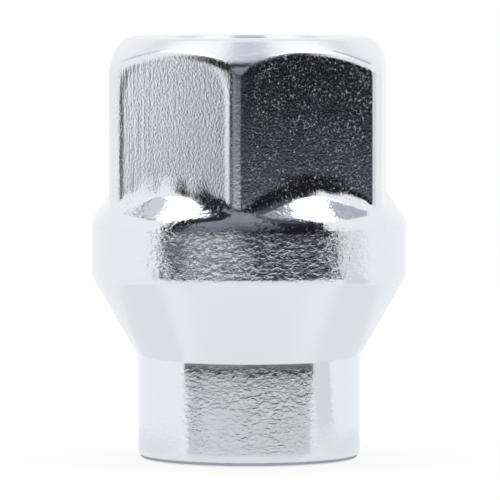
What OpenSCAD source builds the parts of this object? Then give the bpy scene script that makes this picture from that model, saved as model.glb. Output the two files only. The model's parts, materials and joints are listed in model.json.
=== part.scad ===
// Open-ended lug nut with a conical seat and an extended thread shank.
// One cold-forged and chrome-plated piece, standing on its shank.
// The axis is Z, the origin is the centre of the shank's end face, and a corner of the hexagon faces -Y.
// All lengths are in millimetres and all angles in degrees.

/* [Hexagon head] */
// Width across the flats, for a 13/16 inch socket
hex_across_flats = 20.64; // [19:0.01:21.5]
// Radius of the six upright corners
hex_corner_radius = 1.6; // [0.4:0.1:3]
// Length of a flat's middle line, from the shoulder to the top face
flat_length = 10.9; // [6:0.05:20]
// Diameter where the chamfer would meet the top face
chamfer_top_dia = 18.4; // [17:0.1:19]
// Slope of the chamfer from the top face
chamfer_angle = 40; // [25:1:50]
// Radius where the top face rolls into the chamfer
rim_radius = 1; // [0.2:0.1:1.6]

/* [Shoulder and collar] */
// Diameter of the round collar
collar_dia = 24; // [23.4:0.1:27]
// Height of the collar's upright band, from the seat's edge to the shoulder
collar_band = 3.75; // [2:0.05:8]
// Slope of the shoulder from the axis
shoulder_angle = 36; // [25:1:45]
// Radius where the collar rolls into the shoulder
shoulder_round = 1.95; // [0.5:0.05:2.2]
// Radius where the shoulder sweeps up into the flats
shoulder_fillet = 1.85; // [0.5:0.05:2.2]

/* [Seat and shank] */
// Included angle of the conical seat
seat_angle = 60; // [50:1:90]
// Radius of the edge between the seat and the collar
seat_edge_radius = 1.5; // [0.2:0.1:2.5]
// Diameter of the shank that enters the wheel's stud hole
shank_dia = 17; // [15.5:0.1:20]
// Length of the shank, from its end face to the foot of the seat
shank_length = 7.9; // [3:0.1:16]
// Radius in the corner between the shank and the seat
root_fillet = 1; // [0.2:0.1:2]
// Radius of the shank's outer end edge
shank_end_radius = 0.55; // [0.2:0.05:0.9]

/* [Thread] */
// Nominal diameter of the stud thread, 1/2 inch
thread_dia = 12.7; // [10:0.1:12.8]
// Pitch of the stud thread, 20 turns to the inch
thread_pitch = 1.27; // [1:0.01:1.75]
// Diameter of the countersink at each mouth of the thread
mouth_dia = 13.4; // [13.2:0.1:13.6]
// Included angle of the countersinks
mouth_angle = 90; // [60:1:120]

/* [Hidden] */
$fn = 96;
chrome_colour = "#D3D6DA";

// How far the shoulder's curve runs in behind the flats, so that the two cross cleanly
shoulder_tuck = 0.05;
// How far cutting and trimming shapes run past the surfaces that they cut
overrun = 1;
// An upright corner of the hexagon stands at this angle about the axis
corner_angle = -90;
hex_sides = 6;
// Ratio of an internal thread's depth, nominal to crest, to the pitch
thread_depth_ratio = 0.54127;

collar_r = collar_dia / 2;
shank_r = shank_dia / 2;
hex_half = hex_across_flats / 2;
// Distance from the axis to the centre of each corner radius
corner_centre_r = (hex_half - hex_corner_radius) / cos(180 / hex_sides);
hex_tip_r = corner_centre_r + hex_corner_radius;
crest_r = thread_dia / 2 - thread_depth_ratio * thread_pitch;
mouth_depth = (mouth_dia / 2 - crest_r) / tan(mouth_angle / 2);

// Heights of the section's corners above the shank's end face
half_seat = seat_angle / 2;
seat_top_z = shank_length + (collar_r - shank_r) / tan(half_seat);
band_top_z = seat_top_z + collar_band;
shoulder_inner_r = hex_half - shoulder_tuck;
shoulder_slope = ((collar_r - shoulder_inner_r)
    - (shoulder_round + shoulder_fillet) * (1 - cos(shoulder_angle))) / sin(shoulder_angle);
shoulder_top_z = band_top_z + (shoulder_round + shoulder_fillet) * sin(shoulder_angle)
    + shoulder_slope * cos(shoulder_angle);
top_z = shoulder_top_z + flat_length;

// Lengths from each rounded corner to where its radius begins
root_tangent = root_fillet * tan(half_seat / 2);
edge_tangent = seat_edge_radius * tan(half_seat / 2);
rim_tangent = rim_radius * tan(chamfer_angle / 2);

// A point in the plane at a distance from the centre and an angle
function polar(distance, angle) = distance * [cos(angle), sin(angle)];

// A disc in the plane, for a rounded corner of an outline
module disc(centre, radius) {
    translate(centre) circle(radius);
}

// Half section of the turned form, from the shank's end face to the top of the shoulder
module turned_section() {
    along_seat = [sin(half_seat), cos(half_seat)];
    round_centre = [collar_r - shoulder_round, band_top_z];
    slope_foot = round_centre + polar(shoulder_round, shoulder_angle);
    slope_head = slope_foot + shoulder_slope * [-sin(shoulder_angle), cos(shoulder_angle)];
    difference() {
        union() {
            polygon([
                [0, 0],
                [shank_r - shank_end_radius, 0],
                [shank_r, shank_end_radius],
                [shank_r, shank_length - root_tangent],
                [shank_r, shank_length] + root_tangent * along_seat,
                [collar_r, seat_top_z] - edge_tangent * along_seat,
                [collar_r, seat_top_z + edge_tangent],
                [collar_r, band_top_z],
                slope_foot,
                slope_head,
                [shoulder_inner_r, shoulder_top_z],
                [0, shoulder_top_z]
            ]);
            disc([shank_r - shank_end_radius, shank_end_radius], shank_end_radius);
            disc([collar_r - seat_edge_radius, seat_top_z + edge_tangent], seat_edge_radius);
            disc(round_centre, shoulder_round);
        }
        disc([shank_r + root_fillet, shank_length - root_tangent], root_fillet);
        disc([shoulder_inner_r + shoulder_fillet, shoulder_top_z], shoulder_fillet);
    }
}

// Half section that trims the hexagon to its top face and chamfer
module chamfer_section() {
    outer_r = hex_tip_r + overrun;
    rim = [chamfer_top_dia / 2, top_z];
    rim_end = rim - [rim_tangent, 0];
    union() {
        polygon([
            [0, band_top_z],
            [outer_r, band_top_z],
            [outer_r, top_z - (outer_r - rim[0]) * tan(chamfer_angle)],
            rim + polar(rim_tangent, -chamfer_angle),
            rim_end,
            [0, top_z]
        ]);
        disc(rim_end - [0, rim_radius], rim_radius);
    }
}

// Outline of the hexagon with its corners rounded
module hexagon_outline() {
    corners = [for (i = [0 : hex_sides - 1]) corner_angle + i * 360 / hex_sides];
    half_turn = 180 / hex_sides;
    polygon([
        for (a = corners, side = [-1, 1])
            polar(corner_centre_r, a) + polar(hex_corner_radius, a + side * half_turn)
    ]);
    for (a = corners)
        disc(polar(corner_centre_r, a), hex_corner_radius);
}

// The wrenching head: a hexagon that rises out of the collar and is chamfered at the top
module hexagon_head() {
    intersection() {
        translate([0, 0, band_top_z])
            linear_extrude(top_z - band_top_z + overrun) hexagon_outline();
        rotate_extrude() chamfer_section();
    }
}

// The stud hole at the thread's crests, countersunk at both mouths
module stud_hole() {
    mouth_reach = mouth_depth + overrun;
    mouth_flare = crest_r + mouth_reach * tan(mouth_angle / 2);
    translate([0, 0, -overrun])
        cylinder(h = top_z + 2 * overrun, r = crest_r);
    translate([0, 0, -overrun])
        cylinder(h = mouth_reach, r1 = mouth_flare, r2 = crest_r);
    translate([0, 0, top_z - mouth_depth])
        cylinder(h = mouth_reach, r1 = crest_r, r2 = mouth_flare);
}

module lug_nut() {
    color(chrome_colour)
        difference() {
            union() {
                rotate_extrude() turned_section();
                hexagon_head();
            }
            stud_hole();
        }
}

lug_nut();
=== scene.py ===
import json
import math

import bpy
import numpy as np
from mathutils import Matrix, Vector


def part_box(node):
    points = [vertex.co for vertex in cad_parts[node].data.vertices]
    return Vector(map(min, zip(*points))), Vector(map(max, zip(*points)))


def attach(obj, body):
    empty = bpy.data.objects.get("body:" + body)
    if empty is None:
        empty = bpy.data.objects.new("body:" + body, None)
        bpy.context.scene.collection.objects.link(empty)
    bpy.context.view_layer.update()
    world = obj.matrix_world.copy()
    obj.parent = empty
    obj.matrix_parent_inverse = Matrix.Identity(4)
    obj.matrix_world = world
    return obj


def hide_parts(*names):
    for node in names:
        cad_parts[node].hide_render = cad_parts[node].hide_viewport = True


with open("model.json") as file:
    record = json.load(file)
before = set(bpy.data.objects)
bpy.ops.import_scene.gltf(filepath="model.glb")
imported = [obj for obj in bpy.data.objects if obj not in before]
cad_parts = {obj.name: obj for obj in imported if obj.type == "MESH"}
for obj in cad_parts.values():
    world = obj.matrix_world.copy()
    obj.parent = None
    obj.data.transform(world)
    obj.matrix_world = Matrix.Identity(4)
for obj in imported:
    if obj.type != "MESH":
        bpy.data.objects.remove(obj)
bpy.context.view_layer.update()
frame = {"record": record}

bl_info = {
    "name": "Lug Nut",
    "version": (1, 0, 0),
    "blender": (4, 5, 0),
    "location": "3D View > Sidebar > Lug Nut",
    "description": "Forges, taps and plates an open-ended conical-seat lug nut on a pale studio stage",
    "category": "Object",
}

MM = 0.001
NODE = "lug_nut"
HEX_SIDES = 6
SECTOR = 2 * math.pi / HEX_SIDES
# One corner of the hexagon faces -Y, as in the CAD model.
CORNER_ANGLE = math.radians(-90)
# Rows of faces up the head, and the shares of them that end at the foot of a flat and at its crease.
HEAD_ROWS = 72
HEAD_FOOT = 22 / HEAD_ROWS
HEAD_CREASE = 54 / HEAD_ROWS
# Slack within which a row counts as the collar's or the rim's own.
ROW_TOLERANCE = 1e-6
# Columns of faces around the nut, and how strongly they crowd together at the hexagon's corners.
COLUMNS = 360
CORNER_CROWDING = 0.62
# Nearness to a corner is 0 in the middle of a flat and 1 at the corner. The shoulder's lift follows this
# power of it.
LIFT_POWER = 8
# Nearness to a corner, and the share of the corner's wider foot blend there.
FOOT_BLEND_SHARES = ((0.35, 0.7, 0.94, 1), (0, 1, 1, 0))
# The least share of the foot blend, down at the collar.
LEAST_BLEND = 0.02
# Points along the shoulder's curve, in the table that finds where it meets the hexagon.
SHOULDER_TABLE = 800
# Steps in one turn of the thread.
THREAD_STEPS = 96
# Points closer than this are one.
MERGE_DISTANCE = 0.001 * MM
# Edges sharper than this stay sharp.
SMOOTH_ANGLE = math.radians(32)

mount_dims = {m["name"]: m["dims"] for m in frame["record"]["mounts"]}
cad_low, cad_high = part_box(NODE)


def linear(code):
    """A colour written as an sRGB hex value, in the linear light that Blender's sockets hold."""
    channels = [int(code[i:i + 2], 16) / 255 for i in (1, 3, 5)]
    return tuple(c / 12.92 if c <= 0.04045 else ((c + 0.055) / 1.055) ** 2.4 for c in channels)


def length(name, description, millimetres):
    """A length property whose default is given in millimetres."""
    return bpy.props.FloatProperty(
        name=name, description=description, default=millimetres * MM, min=0, unit="LENGTH", precision=5)


def angle(name, description, degrees):
    """An angle property whose default is given in degrees."""
    return bpy.props.FloatProperty(
        name=name, description=description, default=math.radians(degrees), subtype="ANGLE", unit="ROTATION")


def factor(name, description, share):
    """A property between 0 and 1."""
    return bpy.props.FloatProperty(
        name=name, description=description, default=share, min=0, max=1, subtype="FACTOR")


class NutSizes(bpy.types.PropertyGroup):
    """Sizes of the forged and tapped nut."""

    across_flats: length("Across Flats", "Width of the hexagon across its flats", 20.64)
    corner_radius: length("Corner Radius", "Radius of the hexagon's upright corners", 1.6)
    chamfer_top: length("Chamfer Top", "Diameter where the chamfer would meet the top face", 18.4)
    chamfer_angle: angle("Chamfer Angle", "Slope of the chamfer from the top face", 40)
    rim_radius: length("Rim Radius", "Radius where the top face rolls into the chamfer", 1.0)
    crease_blend: length("Crease Blend", "Width over which a flat rolls into the chamfer", 0.64)
    flat_sink: length("Flat Sink", "Depth that each flat is pressed in within its border", 0.015)
    flat_margin: length("Flat Margin", "Width of the border around a pressed flat", 0.25)
    flat_step: length("Flat Step", "Width of the step down from the border", 0.3)
    flat_corner: length("Flat Corner", "Width over which a pressed flat rounds its upper corners", 2.2)
    collar_dia: length("Collar Diameter", "Diameter of the round collar", 24.0)
    collar_band: length("Collar Band", "Height of the collar's upright band", 3.75)
    shoulder_angle: angle("Shoulder Angle", "Slope of the shoulder from the axis", 36)
    shoulder_round: length("Shoulder Round", "Radius where the collar rolls into the shoulder", 1.95)
    shoulder_fillet: length("Shoulder Fillet", "Radius where the shoulder sweeps up into the flats", 1.85)
    shoulder_tuck: length("Shoulder Tuck", "How far the shoulder's curve runs in behind the flats", 0.05)
    foot_blend: length("Foot Blend", "Width over which the middle of a flat runs into the shoulder", 0.2)
    corner_foot_blend: length("Corner Foot Blend", "The same width beside a corner", 0.5)
    corner_lift: length("Corner Lift", "How much higher the shoulder stands under a corner", 0.4)
    seat_angle: angle("Seat Angle", "Included angle of the conical seat", 60)
    seat_edge: length("Seat Edge", "Radius of the edge between the seat and the collar", 1.5)
    shank_dia: length("Shank Diameter", "Diameter of the shank", 2 * mount_dims["shank_pilot"]["r_mm"])
    shank_length: length("Shank Length", "Length of the shank to the foot of the seat", 7.9)
    root_fillet: length("Root Fillet", "Radius in the corner between the shank and the seat", 0.5)
    root_row: length("Root Row", "Gap under the root to a row that keeps the shank's shading straight", 0.03)
    shank_end: length("Shank End", "Width of the rounded end edge of the shank", 0.5)
    shank_end_height: length("Shank End Height", "Height of the rounded end edge of the shank", 0.95)
    height: length("Height", "Overall height of the nut", (cad_high.z - cad_low.z) / MM)
    crest_dia: length("Thread Crest", "Diameter across the crests", 2 * mount_dims["stud_thread"]["r_mm"])
    thread_dia: length("Thread Diameter", "Nominal diameter of the stud thread", 12.7)
    thread_pitch: length("Thread Pitch", "Rise of the thread in one turn", 1.27)
    tap_allowance: length("Tap Allowance", "How far the blank's bore is inside the thread's crests", 0.25)
    mouth_dia: length("Mouth Diameter", "Diameter of the countersink at each end of the thread", 13.4)
    mouth_edge: length("Mouth Edge", "Radius of the edge around each countersink", 0.15)


def arc(centre, radius, start, end, steps):
    """Points along an arc in the plane, both ends included, with angles in radians."""
    return [(centre[0] + radius * math.cos(a), centre[1] + radius * math.sin(a))
            for a in np.linspace(start, end, steps + 1)]


def line(start, end, steps):
    """Points along a straight line, its ends left out."""
    return [tuple(np.add(start, np.subtract(end, start) * i / steps)) for i in range(1, steps)]


def smooth_min(a, b, width):
    """The smaller of two sizes, rounded off where they come within a width of each other."""
    nearness = np.maximum(width - np.abs(a - b), 0) / width
    return np.minimum(a, b) - nearness ** 2 * width / 4


def smooth_max(a, b, width):
    """The larger of two sizes, filled in where they come within a width of each other."""
    return -smooth_min(-a, -b, width)


def draw_chain(name, points, closed):
    """A chain of edges in the XZ plane, drawn by extruding one vertex from point to point."""
    bpy.ops.object.select_all(action="DESELECT")
    bpy.ops.mesh.primitive_plane_add(size=MM)
    obj = bpy.context.object
    obj.name = obj.data.name = name
    bpy.ops.object.mode_set(mode="EDIT")
    bpy.ops.mesh.merge(type="CENTER")
    bpy.ops.transform.translate(value=(points[0][0], 0, points[0][1]))
    for here, there in zip(points, points[1:]):
        step = (there[0] - here[0], 0, there[1] - here[1])
        bpy.ops.mesh.extrude_region_move(TRANSFORM_OT_translate={"value": step})
    if closed:
        bpy.ops.object.mode_set(mode="OBJECT")
        obj.data.vertices[0].select = True
        bpy.ops.object.mode_set(mode="EDIT")
        bpy.ops.mesh.edge_face_add()
    bpy.ops.object.mode_set(mode="OBJECT")
    return obj


class NutForm:
    """Heights, radii and curves worked out from the nut's sizes, in metres."""

    def __init__(self, s):
        self.s = s
        self.collar_r = s.collar_dia / 2
        self.shank_r = s.shank_dia / 2
        self.half_seat = s.seat_angle / 2
        self.seat_top = s.shank_length + (self.collar_r - self.shank_r) / math.tan(self.half_seat)
        self.band_top = self.seat_top + s.collar_band
        self.inner_r = s.across_flats / 2 - s.shoulder_tuck
        rounds = s.shoulder_round + s.shoulder_fillet
        run = self.collar_r - self.inner_r - rounds * (1 - math.cos(s.shoulder_angle))
        slope = run / math.sin(s.shoulder_angle)
        self.slope_foot_z = self.band_top + s.shoulder_round * math.sin(s.shoulder_angle)
        self.slope_foot_r = self.collar_r - s.shoulder_round * (1 - math.cos(s.shoulder_angle))
        self.slope_head_z = self.slope_foot_z + slope * math.cos(s.shoulder_angle)
        self.shoulder_top = self.slope_head_z + s.shoulder_fillet * math.sin(s.shoulder_angle)
        self.rim_r = s.chamfer_top / 2
        self.rim_tangent = s.rim_radius * math.tan(s.chamfer_angle / 2)
        # The chamfer's straight slope ends here, where the rim's rounding begins.
        self.rim_foot = (self.rim_r + self.rim_tangent * math.cos(s.chamfer_angle),
                         s.height - self.rim_tangent * math.sin(s.chamfer_angle))

    def shoulder_radius(self, z):
        """Radius of the turned shoulder at a height."""
        s = self.s
        lift = np.clip(z - self.band_top, 0, s.shoulder_round)
        rounded = self.collar_r - s.shoulder_round + np.sqrt(s.shoulder_round ** 2 - lift ** 2)
        sloped = self.slope_foot_r - (z - self.slope_foot_z) * math.tan(s.shoulder_angle)
        drop = np.clip(self.shoulder_top - z, 0, s.shoulder_fillet)
        swept = self.inner_r + s.shoulder_fillet - np.sqrt(s.shoulder_fillet ** 2 - drop ** 2)
        # Above its top the curve falls away behind the flats, by half a millimetre in the first one.
        above = self.inner_r - (z - self.shoulder_top) ** 2 / (2 * MM)
        return np.select(
            [z < self.slope_foot_z, z < self.slope_head_z, z < self.shoulder_top],
            [rounded, sloped, swept], above)

    def hexagon_radius(self, turn):
        """Radius of the rounded hexagon at an angle about the axis."""
        s = self.s
        off_corner = (turn - CORNER_ANGLE + SECTOR / 2) % SECTOR - SECTOR / 2
        centre = (s.across_flats / 2 - s.corner_radius) / math.cos(SECTOR / 2)
        flat = s.across_flats / 2 / np.cos(SECTOR / 2 - np.abs(off_corner))
        reach = s.corner_radius ** 2 - (centre * np.sin(off_corner)) ** 2
        corner = centre * np.cos(off_corner) + np.sqrt(np.maximum(reach, 0))
        tangent = math.atan2(
            s.corner_radius * math.sin(SECTOR / 2), centre + s.corner_radius * math.cos(SECTOR / 2))
        return np.where(np.abs(off_corner) < tangent, corner, flat)

    def chamfer_radius(self, z):
        """Radius of the chamfer's cone at a height."""
        return self.rim_r + (self.s.height - z) / math.tan(self.s.chamfer_angle)

    def crease_height(self, hexagon):
        """Height at which the chamfer meets a radius of the hexagon."""
        return self.s.height - (hexagon - self.rim_r) * math.tan(self.s.chamfer_angle)

    def along_flat(self, turn):
        """Distance along a flat from its middle line."""
        return self.s.across_flats / 2 * np.tan((turn - CORNER_ANGLE) % SECTOR - SECTOR / 2)

    def flat_depth(self, turn, z, crease):
        """How far inside the outline of its flat a point lies, with the outline's upper corners rounded."""
        s = self.s
        half_width = (s.across_flats / 2 - s.corner_radius) * math.tan(SECTOR / 2)
        from_side = half_width - np.abs(self.along_flat(turn))
        from_top = crease - z - s.flat_margin
        return smooth_min(from_side, from_top, s.flat_corner) - s.flat_margin

    def head(self, turn, row):
        """Radius and height of the head at an angle and at a row from 0 at the collar to 1 at the rim."""
        s = self.s
        hexagon = self.hexagon_radius(turn)
        table_z = np.linspace(self.band_top, self.shoulder_top, SHOULDER_TABLE)
        table_r = self.shoulder_radius(table_z)
        near_corner = np.abs(np.cos(HEX_SIDES / 2 * (turn - CORNER_ANGLE)))
        lift = s.corner_lift * near_corner ** LIFT_POWER
        foot = np.interp(-hexagon, -table_r, table_z) + lift
        crease = self.crease_height(hexagon)
        # Rows crowd together at the foot and at the crease.
        rise = (1 - np.cos(np.pi * np.clip((row - HEAD_FOOT) / (HEAD_CREASE - HEAD_FOOT), 0, 1))) / 2
        z = np.select(
            [row < HEAD_FOOT, row < HEAD_CREASE],
            [self.band_top + (foot - self.band_top) * row / HEAD_FOOT, foot + (crease - foot) * rise],
            crease + (self.rim_foot[1] - crease) * (row - HEAD_CREASE) / (1 - HEAD_CREASE))
        inside = np.clip(2 * self.flat_depth(turn, z, crease) / s.flat_step, -1, 1)
        pressed = hexagon - s.flat_sink * (inside * (3 - inside ** 2) + 2) / 4
        trimmed = smooth_min(pressed, self.chamfer_radius(z), s.crease_blend)
        # The run into the shoulder is widest beside a corner, and gone at the collar.
        above_collar = np.clip((z - self.band_top) / (s.shoulder_round / 2), 0, 1)
        beside_corner = np.interp(near_corner, *FOOT_BLEND_SHARES)
        blend = s.foot_blend + (s.corner_foot_blend - s.foot_blend) * beside_corner
        shoulder = self.shoulder_radius(z - lift * above_collar)
        return smooth_max(trimmed, shoulder, blend * np.maximum(above_collar, LEAST_BLEND)), z

    def section(self):
        """Closed half section of the blank, whose head is still a plain round bar."""
        s = self.s
        half_pi = math.pi / 2
        root_tangent = s.root_fillet * math.tan(self.half_seat / 2)
        edge_tangent = s.seat_edge * math.tan(self.half_seat / 2)
        mouth_r = s.mouth_dia / 2
        mouth_edge_r = mouth_r + s.mouth_edge * math.tan(math.pi / 8)
        # The blank's bore is a little under the thread's crests, so that the tap takes all of its wall.
        bore_r = s.crest_dia / 2 - s.tap_allowance
        mouth_depth = mouth_r - bore_r
        bottom_mouth = arc((mouth_edge_r, s.mouth_edge), s.mouth_edge,
                           2.5 * half_pi, 3 * half_pi, steps=4)
        top_mouth = arc((mouth_edge_r, s.height - s.mouth_edge), s.mouth_edge,
                        half_pi, 1.5 * half_pi, steps=4)
        shank_end = [(self.shank_r - s.shank_end + x * s.shank_end, (1 + y) * s.shank_end_height)
                     for x, y in arc((0, 0), 1, -half_pi, 0, steps=14)]
        root = arc((self.shank_r + s.root_fillet, s.shank_length - root_tangent), s.root_fillet,
                   math.pi, math.pi - self.half_seat, steps=8)
        root_start = (self.shank_r, root[0][1] - s.root_row)
        seat_edge = arc((self.collar_r - s.seat_edge, self.seat_top + edge_tangent), s.seat_edge,
                        -self.half_seat, 0, steps=8)
        rim = arc((self.rim_r - self.rim_tangent, s.height - s.rim_radius), s.rim_radius,
                  half_pi - s.chamfer_angle, half_pi, steps=10)
        collar_top = (self.collar_r, self.band_top)
        head = [(self.collar_r, self.band_top + (self.rim_foot[1] - self.band_top) * i / HEAD_ROWS)
                for i in range(1, HEAD_ROWS)]
        bore_start, bore_end = (bore_r, mouth_depth), (bore_r, s.height - mouth_depth)
        return (
            [bore_start] + line(bore_start, bottom_mouth[0], steps=4)
            + bottom_mouth + line(bottom_mouth[-1], shank_end[0], steps=4)
            + shank_end + line(shank_end[-1], root_start, steps=12)
            + [root_start] + root + line(root[-1], seat_edge[0], steps=12)
            + seat_edge + line(seat_edge[-1], collar_top, steps=8)
            + [collar_top] + head
            + rim + line(rim[-1], top_mouth[0], steps=4)
            + top_mouth + line(top_mouth[-1], bore_end, steps=4)
            + [bore_end])


def read_points(obj):
    """Places of a mesh's vertices, one row each."""
    places = np.empty(len(obj.data.vertices) * 3)
    obj.data.vertices.foreach_get("co", places)
    return places.reshape(-1, 3)


def press_hexagon(obj, form):
    """Presses the blank's round head to the hexagon, its chamfer and its run into the shoulder."""
    x, y, z = read_points(obj).T
    turn = np.arctan2(y, x)
    radius = np.hypot(x, y)
    turn -= CORNER_CROWDING / HEX_SIDES * np.sin(HEX_SIDES * (turn - CORNER_ANGLE))
    row = (z - form.band_top) / (form.rim_foot[1] - form.band_top)
    on_head = (row > ROW_TOLERANCE) & (row < 1 - ROW_TOLERANCE) & (radius > form.s.crest_dia / 2 + MM)
    z = z.copy()
    radius[on_head], z[on_head] = form.head(turn[on_head], row[on_head])
    places = np.column_stack((radius * np.cos(turn), radius * np.sin(turn), z))
    obj.data.vertices.foreach_set("co", places.ravel())
    obj.data.update()


# Fades of the flats' grain: depth at which a point still belongs to a side, width of the fade at the crease
# and how far past the crease it ends, and width of the fade on the shoulder.
SIDE_DEPTH = 0.3 * MM
CREASE_FADE = 0.4 * MM
CREASE_REACH = 0.32 * MM
SHOULDER_FADE = 0.5 * MM
# Depth inside a flat's outline, and the strength of the grain there.
GRAIN_SHARES = ((-0.6 * MM, -0.1 * MM), (0.7, 1))
# Distance along a flat from its middle, and the strength of the die marks there: they keep to one side.
DIE_MARK_SHARES = ((-4 * MM, -1.2 * MM), (1, 0.1))
FLAT_HAZE = 0.2
BORE_HAZE = 0.8


def mark_finish(obj, form):
    """Stores how strongly each point shows the flats' grain, the marks of die and turning, and haze."""
    s = form.s
    x, y, z = read_points(obj).T
    turn = np.arctan2(y, x)
    radius = np.hypot(x, y)
    hexagon = form.hexagon_radius(turn)
    crease = form.crease_height(hexagon)
    on_side = (radius > hexagon - SIDE_DEPTH) & (z > form.band_top)
    grain = np.interp(form.flat_depth(turn, z, crease), *GRAIN_SHARES)
    grain *= np.clip((crease + CREASE_REACH - z) / CREASE_FADE, 0, 1)
    grain *= np.clip((hexagon + SHOULDER_FADE - radius) / SHOULDER_FADE, 0, 1)
    grain = np.where(on_side, grain, 0)
    drawn = grain * np.interp(form.along_flat(turn), *DIE_MARK_SHARES)

    # Heights up the outside, with the strength of the turning marks and of the haze at each.
    heights, turning_shares, haze_shares = zip(
        (0, 0.2, 0.48),
        (s.shank_end_height, 0.28, 0.3),
        (2 * s.shank_end_height, 0.3, 0.2),
        (0.885 * s.shank_length, 0.3, 0.2),
        (0.915 * s.shank_length, 0, 0),
        (s.shank_length + s.root_fillet, 0.05, 1),
        (form.seat_top - s.seat_edge / 2, 0.1, 1),
        (form.seat_top + s.seat_edge / 2, 1, 0.2),
        (form.band_top, 0.9, 0.2),
        (form.band_top + 0.4 * s.shoulder_round, 0.45, 0.22),
        (form.band_top + s.shoulder_round, 0.4, 0.3),
        (form.shoulder_top, 0.5, 0.5),
        (form.shoulder_top + s.shoulder_fillet, 0.2, 1))
    outer = radius > s.thread_dia / 2 + MM / 2
    turning = np.where(outer, np.interp(z, heights, turning_shares) * (1 - grain), 0)
    haze = np.interp(z, heights, haze_shares)
    haze = np.where(outer, haze + (FLAT_HAZE - haze) * grain, BORE_HAZE)
    for name, values in (("grain", grain), ("drawn", drawn), ("turning", turning), ("haze", haze)):
        layer = obj.data.attributes.new(name, "FLOAT", "POINT")
        layer.data.foreach_set("value", values.astype(np.float32))


def make_tap(s):
    """A closed cutter with the stud thread's form, long enough to pass through both mouths."""
    crest, root = s.crest_dia / 2, s.thread_dia / 2
    pitch = s.thread_pitch
    # An inside thread's crest is a quarter of the pitch wide and its root an eighth.
    flank = (pitch - pitch / 4 - pitch / 8) / 2
    # The tap starts two turns under the nut and ends at least one above it.
    heights = np.cumsum([-2 * pitch, pitch / 4, flank, pitch / 8, flank])
    tap = draw_chain("tap", list(zip((crest, crest, root, root, crest), heights)), closed=False)
    helix = tap.modifiers.new("Helix", "SCREW")
    helix.axis = "Z"
    helix.angle = 2 * math.pi
    helix.screw_offset = pitch
    helix.iterations = math.ceil(s.height / pitch) + 3
    helix.steps = helix.render_steps = THREAD_STEPS
    helix.use_merge_vertices = False
    bpy.ops.object.modifier_apply(modifier=helix.name)
    bpy.ops.object.mode_set(mode="EDIT")
    bpy.ops.mesh.select_all(action="SELECT")
    bpy.ops.mesh.remove_doubles(threshold=MERGE_DISTANCE)
    for below in (True, False):
        bpy.ops.mesh.select_mode(type="EDGE")
        bpy.ops.mesh.select_all(action="DESELECT")
        bpy.ops.mesh.select_non_manifold(
            extend=False, use_wire=False, use_boundary=True, use_multi_face=False,
            use_non_contiguous=False, use_verts=False)
        bpy.ops.object.mode_set(mode="OBJECT")
        for e in tap.data.edges:
            if e.select:
                middle = sum(tap.data.vertices[v].co.z for v in e.vertices) / 2
                e.select = (middle < s.height / 2) == below
        bpy.ops.object.mode_set(mode="EDIT")
        outward = (0, 0, -pitch if below else pitch)
        bpy.ops.mesh.extrude_edges_move(TRANSFORM_OT_translate={"value": outward})
        bpy.ops.mesh.merge(type="CENTER")
    bpy.ops.mesh.select_mode(type="VERT")
    bpy.ops.mesh.select_all(action="SELECT")
    bpy.ops.mesh.normals_make_consistent(inside=False)
    bpy.ops.object.mode_set(mode="OBJECT")
    return tap


class LUGNUT_OT_nut(bpy.types.Operator):
    """Turn the blank, press its hexagon, tap it and plate it"""

    bl_idname = "lugnut.nut"
    bl_label = "Lug Nut"

    def execute(self, context):
        s = context.scene.nut_sizes
        form = NutForm(s)
        nut = draw_chain("nut", form.section(), closed=True)
        bpy.ops.object.mode_set(mode="EDIT")
        bpy.ops.mesh.select_all(action="SELECT")
        bpy.ops.mesh.spin(steps=COLUMNS, angle=2 * math.pi, center=(0, 0, 0), axis=(0, 0, 1))
        bpy.ops.mesh.select_all(action="SELECT")
        bpy.ops.mesh.remove_doubles(threshold=MERGE_DISTANCE)
        bpy.ops.mesh.normals_make_consistent(inside=False)
        bpy.ops.object.mode_set(mode="OBJECT")
        press_hexagon(nut, form)
        tap = make_tap(s)
        bpy.ops.object.select_all(action="DESELECT")
        nut.select_set(True)
        context.view_layer.objects.active = nut
        cut = nut.modifiers.new("Thread", "BOOLEAN")
        cut.operation = "DIFFERENCE"
        cut.solver = "EXACT"
        cut.object = tap
        bpy.ops.object.modifier_apply(modifier=cut.name)
        bpy.data.objects.remove(tap)
        bpy.ops.object.shade_smooth_by_angle(angle=SMOOTH_ANGLE)
        mark_finish(nut, form)
        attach(nut, "root")
        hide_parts(NODE)
        nut.data.materials.clear()
        nut.data.materials.append(chrome_plate(context.scene.nut_finish))
        return {"FINISHED"}


class NutFinish(bpy.types.PropertyGroup):
    """Look of the plated surface."""

    chrome: bpy.props.FloatVectorProperty(
        name="Chrome", description="Colour of the chrome plate", subtype="COLOR", size=3, min=0, max=1,
        default=linear("#E7EAEF"))
    bright_roughness: factor("Bright Roughness", "How far the brightest plate blurs what it reflects", 0.04)
    hazy_roughness: factor("Hazy Roughness", "How far the haziest plate blurs what it reflects", 0.2)
    speck_roughness: factor("Speck Roughness", "Roughness that the specks on the flats add", 0.15)
    wrinkle_depth: length("Wrinkle Depth", "Height of the wrinkles around the round surfaces", 0.013)
    grain_depth: length("Grain Depth", "Height of the grain on the flats", 0.0076)
    pit_depth: length("Pit Depth", "Depth of the pits between the grain", 0.0125)
    die_marks: bpy.props.FloatProperty(
        name="Die Marks", description="Height of the die marks as a multiple of the grain's",
        default=1.15, min=0)


def add_node(tree, kind, inputs=(), **settings):
    """Adds a node with its settings, and sets or links its inputs."""
    new = tree.nodes.new(kind)
    for name, value in settings.items():
        setattr(new, name, value)
    for key, value in dict(inputs).items():
        if isinstance(value, bpy.types.NodeSocket):
            tree.links.new(value, new.inputs[key])
        else:
            new.inputs[key].default_value = value
    return new


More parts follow.
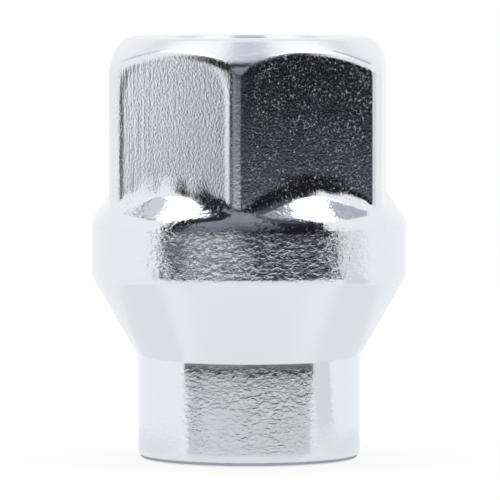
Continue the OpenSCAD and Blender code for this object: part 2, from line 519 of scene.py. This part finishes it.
def chrome_plate(finish):
    """Bright chrome plate over cold-forged steel, which it copies in every wrinkle, grain and pit."""
    # Chrome mirrors its surroundings a little bluish; the steel under it shows only as relief and haze.
    material = bpy.data.materials.new("chrome_plated_forged_steel")
    material.use_nodes = True
    tree = material.node_tree
    shader = tree.nodes["Principled BSDF"]
    shader.inputs["Base Color"].default_value = (*finish.chrome, 1)
    shader.inputs["Metallic"].default_value = 1
    place = add_node(tree, "ShaderNodeTexCoord").outputs["Object"]
    grain = add_node(tree, "ShaderNodeAttribute", attribute_name="grain").outputs["Fac"]
    drawn = add_node(tree, "ShaderNodeAttribute", attribute_name="drawn").outputs["Fac"]
    turning = add_node(tree, "ShaderNodeAttribute", attribute_name="turning").outputs["Fac"]
    haze = add_node(tree, "ShaderNodeAttribute", attribute_name="haze").outputs["Fac"]

    # Wrinkles from rolling and turning: about 0.46 mm long around the nut and 0.3 mm high.
    stretched = add_node(tree, "ShaderNodeMapping", {"Vector": place, "Scale": (1 / 0.46, 1 / 0.46, 1 / 0.3)})
    wrinkles = add_node(tree, "ShaderNodeTexNoise", {
        "Vector": stretched.outputs[0], "Scale": 1 / MM, "Detail": 3, "Roughness": 0.6, "Distortion": 0.3})
    flakes = add_node(tree, "ShaderNodeMapRange", {
        "Value": wrinkles.outputs["Fac"], "From Min": 0.4, "From Max": 0.6})
    # They come in patches about 1.4 mm across, with calmer plate between.
    field = add_node(tree, "ShaderNodeTexNoise", {"Vector": place, "Scale": 1 / (1.4 * MM), "Detail": 2})
    patches = add_node(tree, "ShaderNodeMapRange", {
        "Value": field.outputs["Fac"], "From Min": 0.38, "From Max": 0.62, "To Min": 0.5, "To Max": 1.2})
    turned = add_node(tree, "ShaderNodeMath", {0: flakes.outputs[0], 1: turning}, operation="MULTIPLY")
    patchy = add_node(tree, "ShaderNodeMath", {0: turned.outputs[0], 1: patches.outputs[0]},
                      operation="MULTIPLY")
    wrinkled = add_node(tree, "ShaderNodeBump", {
        "Height": patchy.outputs[0], "Distance": finish.wrinkle_depth})

    # Grain of the forged flats: short bristles of about 0.18 by 0.2 mm.
    upright = add_node(tree, "ShaderNodeMapping", {"Vector": place, "Scale": (1 / 0.18, 1 / 0.18, 1 / 0.2)})
    grit = add_node(tree, "ShaderNodeTexNoise", {
        "Vector": upright.outputs[0], "Scale": 1 / MM, "Detail": 3, "Roughness": 0.6})
    lowered = add_node(tree, "ShaderNodeMath", {0: grit.outputs["Fac"], 1: 0.5}, operation="SUBTRACT")
    bristles = add_node(tree, "ShaderNodeMath", {0: lowered.outputs[0], 1: grain}, operation="MULTIPLY")
    # Die marks drawn up one side of each flat, about 0.3 mm apart and several millimetres long.
    drawn_out = add_node(tree, "ShaderNodeMapping", {"Vector": place, "Scale": (1 / 0.32, 1 / 0.32, 1 / 7)})
    die = add_node(tree, "ShaderNodeTexNoise", {
        "Vector": drawn_out.outputs[0], "Scale": 1 / MM, "Detail": 2, "Roughness": 0.6})
    lowered = add_node(tree, "ShaderNodeMath", {0: die.outputs["Fac"], 1: 0.5}, operation="SUBTRACT")
    strokes = add_node(tree, "ShaderNodeMath", {0: lowered.outputs[0], 1: finish.die_marks},
                       operation="MULTIPLY")
    marked = add_node(tree, "ShaderNodeMath", {0: strokes.outputs[0], 1: drawn, 2: bristles.outputs[0]},
                      operation="MULTIPLY_ADD")
    grained = add_node(tree, "ShaderNodeBump", {
        "Height": marked.outputs[0], "Distance": finish.grain_depth, "Normal": wrinkled.outputs[0]})
    # Pits between the grain, about 0.17 mm across, whose sides flash in the dark flats. They crowd together
    # in fields about 1.3 mm across.
    hollows = add_node(tree, "ShaderNodeTexNoise", {
        "Vector": place, "Scale": 1 / (0.17 * MM), "Detail": 5, "Roughness": 0.75})
    pits = add_node(tree, "ShaderNodeMapRange", {
        "Value": hollows.outputs["Fac"], "From Min": 0.595, "From Max": 0.8})
    spread = add_node(tree, "ShaderNodeTexNoise", {"Vector": place, "Scale": 1 / (1.3 * MM), "Detail": 2})
    crowd = add_node(tree, "ShaderNodeMapRange", {
        "Value": spread.outputs["Fac"], "From Min": 0.4, "From Max": 0.6, "To Min": 0.5, "To Max": 1.2})
    on_flats = add_node(tree, "ShaderNodeMath", {0: pits.outputs[0], 1: grain}, operation="MULTIPLY")
    crowded = add_node(tree, "ShaderNodeMath", {0: on_flats.outputs[0], 1: crowd.outputs[0]},
                       operation="MULTIPLY")
    pitted = add_node(tree, "ShaderNodeBump", {
        "Height": crowded.outputs[0], "Distance": finish.pit_depth, "Normal": grained.outputs[0]},
        invert=True)
    tree.links.new(pitted.outputs[0], shader.inputs["Normal"])

    # Specks on the flats, about 0.28 mm across, where the plate is thin and dull.
    dots = add_node(tree, "ShaderNodeTexNoise", {
        "Vector": place, "Scale": 1 / (0.28 * MM), "Detail": 3, "Roughness": 0.7})
    specks = add_node(tree, "ShaderNodeMapRange", {
        "Value": dots.outputs["Fac"], "From Min": 0.56, "From Max": 0.85, "To Max": finish.speck_roughness})
    base = add_node(tree, "ShaderNodeMapRange", {
        "Value": haze, "To Min": finish.bright_roughness, "To Max": finish.hazy_roughness})
    roughness = add_node(tree, "ShaderNodeMath", {0: specks.outputs[0], 1: grain, 2: base.outputs[0]},
                         operation="MULTIPLY_ADD")
    tree.links.new(roughness.outputs[0], shader.inputs["Roughness"])
    return material


class StageSettings(bpy.types.PropertyGroup):
    """Camera, floor and light of the studio stage."""

    azimuth: angle("Azimuth", "Turn of the camera about the nut", 3.1)
    elevation: angle("Elevation", "Height of the camera above the nut", 3.26)
    distance: length("Distance", "Distance of the camera from the nut", 443)
    target_height: length("Target Height", "Height on the nut at the middle of the frame", 15.907)
    sidestep: length("Sidestep", "How far the camera stands to the right of the axis", 0.077)
    lens: bpy.props.FloatProperty(name="Lens", description="Focal length", default=417, min=1, unit="CAMERA")
    white: bpy.props.FloatProperty(
        name="White", description="Brightness of the white surroundings", default=1.0, min=0)
    floor_radius: length("Floor Radius", "Radius of the floor", 12000)
    floor_glow: factor("Floor Glow", "Share of the floor that is white by itself and takes no shadow", 0.75)
    # Painted shade: how much darker the floor glows where the chrome reflects it.
    floor_reflection_shade: factor("Floor Reflection Shade", "How much duller the floor looks in the chrome", 0.055)
    floor_gloss: factor("Floor Gloss", "Strength of the floor's gloss as the chrome shows it", 0.48)
    floor_roughness: factor("Floor Roughness", "Roughness of that gloss", 0.08)
    softbox_power: bpy.props.FloatProperty(
        name="Softbox Power", description="Power of each softbox", default=0.3, min=0, unit="POWER")
    softbox_lift: angle("Softbox Lift", "Height of each softbox above the floor, seen from the nut", 55)
    softbox_reach: length("Softbox Reach", "Distance of each softbox from the nut", 700)
    softbox_height: length("Softbox Height", "Height of each softbox", 260)


# Each softbox has a name, a direction in degrees from -Y and a width in metres.
SOFTBOXES = (("softbox_left", -78.5, 0.18), ("softbox_right", 80, 0.22))

# The dimmer a card is, the bluer its grey: each tint holds below a brightness.
CARD_TINTS = ((0.1, "#E2E0FF"), (0.7, "#EEF3FF"))
CARD_STEPS = 48
# Distance of the cards on the walls, and heights of those on the floor and overhead, in metres.
WALL = 0.6
FLOOR_LIFT = 0.0004
SHADE_LIFT = 0.0002
CONTACT_SHADE_LIFT = 0.0001
OVERHEAD = 1.04


def on_floor(inner, outer, lift=FLOOR_LIFT):
    """Section of a card on the floor, between two radii."""
    return (inner, lift), (outer, lift)


def on_wall(low, high, radius=WALL):
    """Section of a card on the wall, between two heights."""
    return (radius, low), (radius, high)


def overhead(outer, inner, height=OVERHEAD):
    """Section of a card overhead, between two radii."""
    return (outer, height), (inner, height)


# Cards of the studio, which only reflections see. Each glows at its brightness and lights nothing, so each is
# a painted reflection: painted shade for the dark of its unlit side behind the camera, its white walls and
# their seams, a bright ceiling that puts painted highlights on the chamfer, and painted shadow for the nut's
# own faint shade and contact shade on the floor. Each has a name, its two ends in degrees from -Y, its
# brightness and its section.
CARDS = (
    ("card_floor_edge", -64.8, 71, 0.018, on_floor(0.0915, 0.15)),
    ("card_floor_left_edge", -65.5, -41.5, 0.29, on_floor(0.15, 0.26)),
    ("card_floor_left", -65.5, -41.5, 0.471, on_floor(0.26, 0.39)),
    ("card_floor_panel", -41.5, -4, 0.73, on_floor(0.15, 0.39)),
    ("card_floor_right_edge", -4, 70.5, 0.063, on_floor(0.15, 0.265)),
    ("card_floor_right", -4, 50, 0.326, on_floor(0.265, 0.38)),
    ("card_floor_side", 50, 70.5, 0.272, on_floor(0.265, 0.38)),
    ("card_far_left", -62.7, -41.5, 0.045, on_floor(0.39, WALL)),
    ("card_far_panel", -41.5, -4, 0.136, on_floor(0.39, WALL)),
    ("card_far_right", -4, 70, 0.011, on_floor(0.38, WALL)),
    ("card_near_left", -62.3, -47, 0.036, on_wall(SHADE_LIFT, 0.04)),
    ("card_near_panel", -47, -28, 0.199, on_wall(SHADE_LIFT, 0.04)),
    ("card_near_middle", -28, 0, 0.109, on_wall(SHADE_LIFT, 0.04)),
    ("card_near_right", 0, 69, 0.011, on_wall(SHADE_LIFT, 0.04)),
    ("card_low_left", -62.4, -47, 0.036, on_wall(0.04, 0.1)),
    ("card_rise_left", -63, -47, 0.027, on_wall(0.1, 0.2)),
    ("card_low_panel", -47, -30, 0.172, on_wall(0.04, 0.2)),
    ("card_low_middle", -30, 12, 0.045, on_wall(0.04, 0.1)),
    ("card_low_right", 12, 69, 0.014, on_wall(0.04, 0.1)),
    ("card_rise_right", 12, 62.5, 0.013, on_wall(0.1, 0.2)),
    ("card_front_left", -63, -47, 0.018, on_wall(0.2, 0.35)),
    ("card_front_panel", -47, -30, 0.172, on_wall(0.2, 0.35)),
    ("card_front_middle", -30, 12, 0.217, on_wall(0.1, 0.26)),
    ("card_front_side", 12, 30, 0.109, on_wall(0.2, 0.35)),
    ("card_front_right", 30, 62, 0.013, on_wall(0.2, 0.35)),
    ("card_mid_left", -63.6, -45, 0.018, on_wall(0.35, 0.6)),
    ("card_mid_middle", -45, 26, 0.272, on_wall(0.26, 0.6, WALL + MM)),
    ("card_mid_right", 26, 66, 0.028, on_wall(0.35, 0.6)),
    ("card_upper_left", -66, -30, 0.027, on_wall(0.6, OVERHEAD)),
    ("card_upper_middle", -30, 30, 0.29, on_wall(0.6, OVERHEAD)),
    ("card_upper_right", 30, 70, 0.091, on_wall(0.6, OVERHEAD)),
    ("card_high_left", -63, -40, 0.027, overhead(WALL, 0.1)),
    ("card_front_high", -40, 30, 0.054, overhead(WALL, 0.1)),
    ("card_high_right", 30, 47, 0.109, overhead(WALL, 0.1)),
    ("card_high_side", 47, 60, 0.453, overhead(WALL, 0.1)),
    ("card_top", -180, 180, 0.615, overhead(0.2, 0.001, 1.05)),
    # Painted highlights: cards overhead that glow brighter than white, for the chamfer to reflect.
    ("card_ceiling_highlight_left", -150, -92, 1.2, overhead(0.22, 0.71, 1.06)),
    ("card_ceiling_highlight_right", 98, 156, 1.2, overhead(0.22, 0.71, 1.06)),
    ("card_right", 70.5, 92, 0.8, (*on_floor(0.03, WALL, 0.0005), (WALL, 0.08))),
    ("card_seam_left", -108.5, -90, 0.74, on_wall(0.56, 0.74)),
    ("card_seam_left_edge", -120, -88, 0.326, on_wall(0.51, 0.55)),
    ("card_seam_right", 91, 116, 0.498, on_wall(0.56, 0.8)),
    ("card_seam_right_edge", 96, 122, 0.543, on_wall(0.5, 0.56)),
    ("card_back_left", -168, -124, 0.88, on_wall(0.52, 0.74)),
    ("card_back_right", 130, 174, 0.88, on_wall(0.52, 0.74)),
    # Painted shadow: the nut's faint shade on the floor at each side, and a dark contact ring right under it,
    # as the chrome shows them.
    ("card_shade_left", -137, -60, 0.89, on_floor(0.0095, 0.028, SHADE_LIFT)),
    ("card_shade_right", 66, 143, 0.89, on_floor(0.0095, 0.028, SHADE_LIFT)),
    ("card_contact_shade", -180, 180, 0.407, on_floor(0.0081, 0.00855, CONTACT_SHADE_LIFT)),
)


def card_tint(brightness):
    """Tint of a card's grey, in linear light."""
    for limit, tint in CARD_TINTS:
        if brightness < limit:
            return linear(tint)
    return linear("#FFFFFF")


def luminance(colour):
    """How bright a linear colour looks."""
    return 0.2126 * colour[0] + 0.7152 * colour[1] + 0.0722 * colour[2]


def direction(turn, lift):
    """The way from the nut to a point at an angle from -Y and a height above the floor."""
    return Vector((math.sin(turn) * math.cos(lift), -math.cos(turn) * math.cos(lift), math.sin(lift)))


class LUGNUT_OT_stage(bpy.types.Operator):
    """Set the floor, the cards, the light and the camera"""

    bl_idname = "lugnut.stage"
    bl_label = "Studio Stage"

    def execute(self, context):
        stage = context.scene.nut_stage
        context.scene.view_settings.view_transform = "Standard"
        self.place_camera(context, stage)
        self.lay_floor(stage)
        self.light_world(context, stage)
        for card in CARDS:
            self.hang_card(*card)
        for softbox in SOFTBOXES:
            self.hang_softbox(context, stage, *softbox)
        return {"FINISHED"}

    def place_camera(self, context, stage):
        bpy.ops.object.select_all(action="DESELECT")
        bpy.ops.object.camera_add()
        camera = context.object
        camera.name = "camera"
        camera.data.lens = stage.lens
        camera.data.sensor_width = 36
        camera.data.clip_start = 0.01
        camera.data.clip_end = 20
        back = direction(stage.azimuth, stage.elevation)
        right = Vector((math.cos(stage.azimuth), math.sin(stage.azimuth), 0))
        target = Vector((0, 0, stage.target_height)) + right * stage.sidestep
        camera.matrix_world = Matrix.LocRotScale(
            target + back * stage.distance, back.to_track_quat("Z", "Y"), None)
        context.scene.camera = camera

    def lay_floor(self, stage):
        bpy.ops.object.select_all(action="DESELECT")
        bpy.ops.mesh.primitive_circle_add(vertices=96, radius=stage.floor_radius, fill_type="NGON")
        floor = bpy.context.object
        floor.name = "floor"
        material = bpy.data.materials.new("pale_studio_floor")
        material.use_nodes = True
        tree = material.node_tree
        tree.nodes.clear()
        path = add_node(tree, "ShaderNodeLightPath")
        by_eye, by_chrome = path.outputs["Is Camera Ray"], path.outputs["Is Glossy Ray"]
        seen = add_node(tree, "ShaderNodeMath", {0: by_eye, 1: by_chrome}, operation="MAXIMUM")
        seen = add_node(tree, "ShaderNodeMath", {0: seen.outputs[0], 1: path.outputs["Is Transmission Ray"]},
                        operation="MAXIMUM")
        share = add_node(tree, "ShaderNodeMath", {0: seen.outputs[0], 1: stage.floor_glow},
                         operation="MULTIPLY")
        plain = add_node(tree, "ShaderNodeBsdfDiffuse", {"Color": (1, 1, 1, 1)})
        # Painted shade: in the chrome the floor glows a little darker than to the eye.
        level = add_node(tree, "ShaderNodeMath", {0: by_chrome, 1: -stage.floor_reflection_shade, 2: stage.white},
                         operation="MULTIPLY_ADD")
        white = add_node(tree, "ShaderNodeEmission", {"Color": (1, 1, 1, 1), "Strength": level.outputs[0]})
        matt = add_node(tree, "ShaderNodeMixShader", {
            0: share.outputs[0], 1: plain.outputs[0], 2: white.outputs[0]})
        # Where the chrome shows it at a glancing angle, the floor is a glossy sheet.
        glance = add_node(tree, "ShaderNodeFresnel", {"IOR": 1.5})
        gloss = add_node(tree, "ShaderNodeMath", {0: glance.outputs[0], 1: by_chrome}, operation="MULTIPLY")
        gloss = add_node(tree, "ShaderNodeMath", {0: gloss.outputs[0], 1: stage.floor_gloss},
                         operation="MULTIPLY")
        sheet = add_node(tree, "ShaderNodeBsdfGlossy", {
            "Color": (1, 1, 1, 1), "Roughness": stage.floor_roughness})
        surface = add_node(tree, "ShaderNodeMixShader", {
            0: gloss.outputs[0], 1: matt.outputs[0], 2: sheet.outputs[0]})
        add_node(tree, "ShaderNodeOutputMaterial", {"Surface": surface.outputs[0]})
        floor.data.materials.append(material)

    def light_world(self, context, stage):
        world = bpy.data.worlds.new("white_studio")
        context.scene.world = world
        world.use_nodes = True
        tree = world.node_tree
        tree.nodes.clear()
        white = add_node(tree, "ShaderNodeBackground", {"Color": (1, 1, 1, 1), "Strength": stage.white})
        add_node(tree, "ShaderNodeOutputWorld", {"Surface": white.outputs[0]})

    def hang_card(self, name, first, last, brightness, section):
        card = draw_chain(name, section, closed=False)
        bpy.ops.object.mode_set(mode="EDIT")
        bpy.ops.mesh.select_all(action="SELECT")
        bpy.ops.transform.rotate(
            value=-math.radians(first - 90), orient_axis="Z", center_override=(0, 0, 0))
        bpy.ops.mesh.spin(
            steps=CARD_STEPS, angle=math.radians(first - last), center=(0, 0, 0), axis=(0, 0, 1))
        bpy.ops.object.mode_set(mode="OBJECT")
        show_in_reflections_only(card)
        material = bpy.data.materials.new(name)
        material.use_nodes = True
        tree = material.node_tree
        tree.nodes.clear()
        # The card glows at its own brightness and lights nothing: it is a painted reflection, not a lamp.
        tint = card_tint(brightness)
        glow = add_node(tree, "ShaderNodeEmission", {
            "Color": (*tint, 1), "Strength": brightness / luminance(tint)})
        add_node(tree, "ShaderNodeOutputMaterial", {"Surface": glow.outputs[0]})
        card.data.materials.append(material)

    def hang_softbox(self, context, stage, name, turn, width):
        away = direction(math.radians(turn), stage.softbox_lift)
        bpy.ops.object.select_all(action="DESELECT")
        bpy.ops.object.light_add(type="AREA")
        box = context.object
        box.name = name
        box.matrix_world = Matrix.LocRotScale(away * stage.softbox_reach, away.to_track_quat("Z", "Y"), None)
        box.data.shape = "RECTANGLE"
        box.data.size = width
        box.data.size_y = stage.softbox_height
        box.data.energy = stage.softbox_power


def show_in_reflections_only(obj):
    """Hides a stage object from everything but glossy reflections."""
    obj.visible_camera = False
    obj.visible_diffuse = False
    obj.visible_transmission = False
    obj.visible_volume_scatter = False
    obj.visible_shadow = False


class LUGNUT_PT_panel(bpy.types.Panel):
    """Sizes, finish and stage of the lug nut"""

    bl_idname = "LUGNUT_PT_panel"
    bl_label = "Lug Nut"
    bl_space_type = "VIEW_3D"
    bl_region_type = "UI"
    bl_category = "Lug Nut"

    def draw(self, context):
        layout = self.layout
        for group in (context.scene.nut_sizes, context.scene.nut_finish, context.scene.nut_stage):
            box = layout.box()
            for key in group.bl_rna.properties.keys():
                if key not in ("rna_type", "name"):
                    box.prop(group, key)
        layout.operator(LUGNUT_OT_nut.bl_idname)
        layout.operator(LUGNUT_OT_stage.bl_idname)


CLASSES = (NutSizes, NutFinish, StageSettings, LUGNUT_OT_nut, LUGNUT_OT_stage, LUGNUT_PT_panel)


def register():
    for cls in CLASSES:
        bpy.utils.register_class(cls)
    bpy.types.Scene.nut_sizes = bpy.props.PointerProperty(type=NutSizes)
    bpy.types.Scene.nut_finish = bpy.props.PointerProperty(type=NutFinish)
    bpy.types.Scene.nut_stage = bpy.props.PointerProperty(type=StageSettings)


def unregister():
    del bpy.types.Scene.nut_stage
    del bpy.types.Scene.nut_finish
    del bpy.types.Scene.nut_sizes
    for cls in reversed(CLASSES):
        bpy.utils.unregister_class(cls)


def main():
    register()
    bpy.ops.lugnut.nut()
    bpy.ops.lugnut.stage()


if __name__ == "__main__":
    main()
